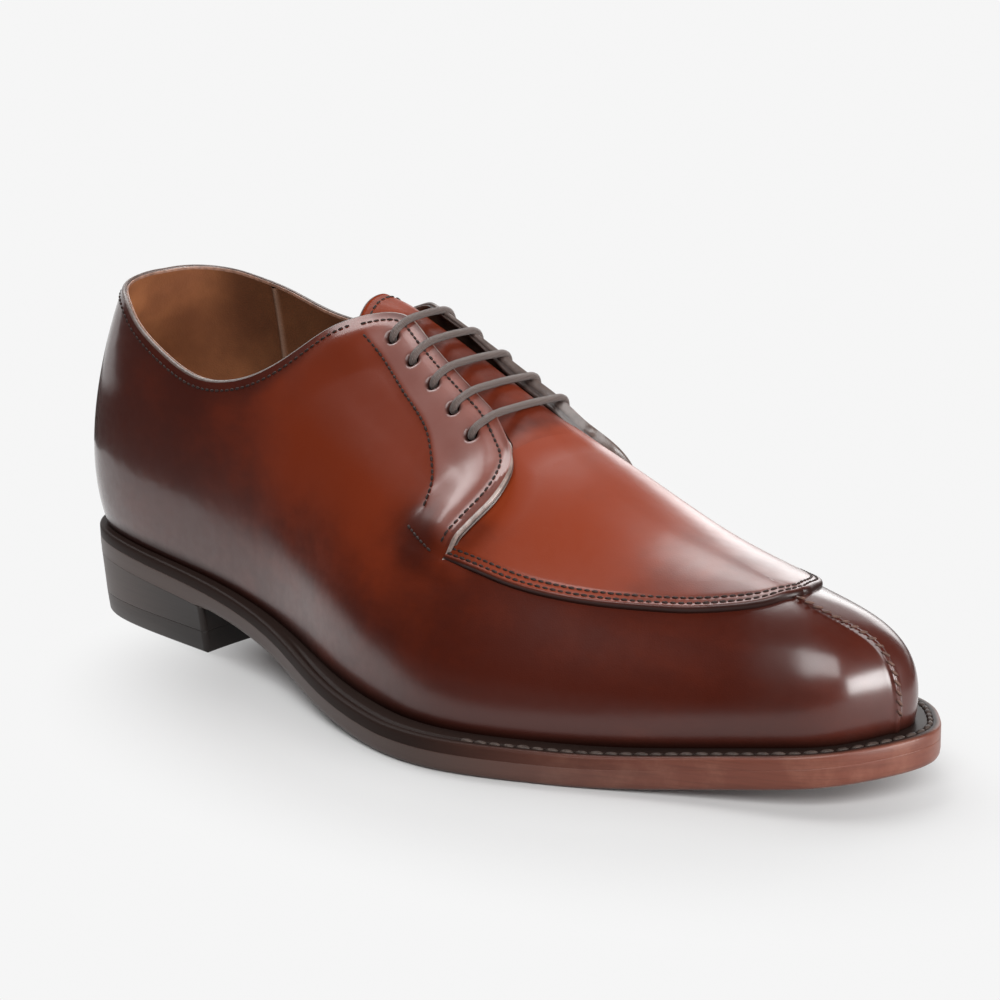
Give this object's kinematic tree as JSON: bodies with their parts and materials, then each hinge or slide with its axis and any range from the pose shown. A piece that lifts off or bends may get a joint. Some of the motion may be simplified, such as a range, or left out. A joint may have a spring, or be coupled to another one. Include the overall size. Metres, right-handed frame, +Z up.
{
  "type": "dress shoe",
  "caption": "Right-foot lace-up derby dress shoe with a split toe, raised apron, welted leather sole and low stacked heel.",
  "frame": {"origin": "middle of the shoe's plan box on the floor under the heel and the ball", "axes": "+X from heel to toe, +Y towards the inner side of the foot, +Z up"},
  "size_m": [0.3056, 0.109, 0.1067],
  "materials": {
    "edge_brown": "inked and waxed sole leather edge",
    "welt_brown": "dark stained welt leather",
    "heel_stack_dark": "dark stained and waxed stacked leather",
    "top_lift_rubber": "matte black rubber",
    "insole_tan": "plain tan sock leather",
    "chestnut_calf": "burnished and polished calf",
    "tongue_calf": "polished calf",
    "waxed_lace": "waxed round cotton cord"
  },
  "bodies": {
    "root": {"outsole": "edge_brown", "welt": "welt_brown", "heel_stack": "heel_stack_dark", "heel_top_lift": "top_lift_rubber", "insole": "insole_tan", "upper": "chestnut_calf", "tongue": "tongue_calf", "lace_bar_1": "waxed_lace", "lace_bar_2": "waxed_lace", "lace_bar_3": "waxed_lace", "lace_bar_4": "waxed_lace", "lace_bar_5": "waxed_lace"}
  },
  "joints": []
}
